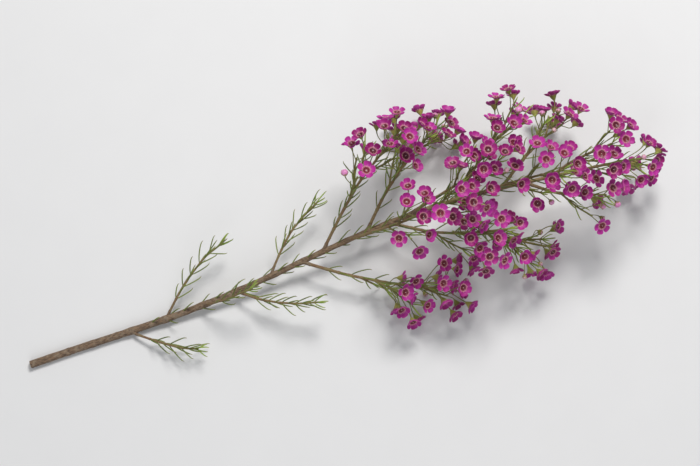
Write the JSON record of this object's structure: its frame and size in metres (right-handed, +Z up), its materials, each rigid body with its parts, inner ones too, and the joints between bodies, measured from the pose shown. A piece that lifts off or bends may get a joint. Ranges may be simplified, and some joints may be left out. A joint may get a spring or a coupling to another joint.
{
  "type": "waxflower stem",
  "caption": "Cut woody stem lying on its side, with needle leaves and branching sprays of small five-petalled magenta flowers and buds.",
  "frame": {"origin": "on the surface that the stem lies on, under the middle of its bounding box", "axes": "+Y along the stem from its cut end to its flowering top, +Z up from the surface it lies on, +X across it"},
  "size_m": [0.1648, 0.4978, 0.1121],
  "materials": {
    "bark": "rough brown bark, greener towards the shoots",
    "leaf": "smooth olive green needle leaves",
    "petal": "waxy magenta petals, paler at the rim",
    "cup": "olive cup under each flower",
    "heart": "dark crimson nectar disc with a pale stamen ring",
    "bud": "pearly pink and green closed buds"
  },
  "bodies": {
    "root": {"main_stem": "bark", "leafy_twig_01": "leaf", "leafy_twig_02": "leaf", "leafy_twig_03": "leaf", "leafy_twig_04": "leaf", "leafy_twig_05": "leaf", "side_spray_01": "petal", "side_spray_02": "petal", "side_spray_03": "petal", "side_spray_04": "petal", "side_spray_05": "petal", "side_spray_06": "petal", "side_spray_07": "petal", "side_spray_08": "petal", "side_spray_09": "petal", "side_spray_10": "petal", "side_spray_11": "petal", "side_spray_12": "petal", "leader_spray": "petal"}
  },
  "joints": []
}
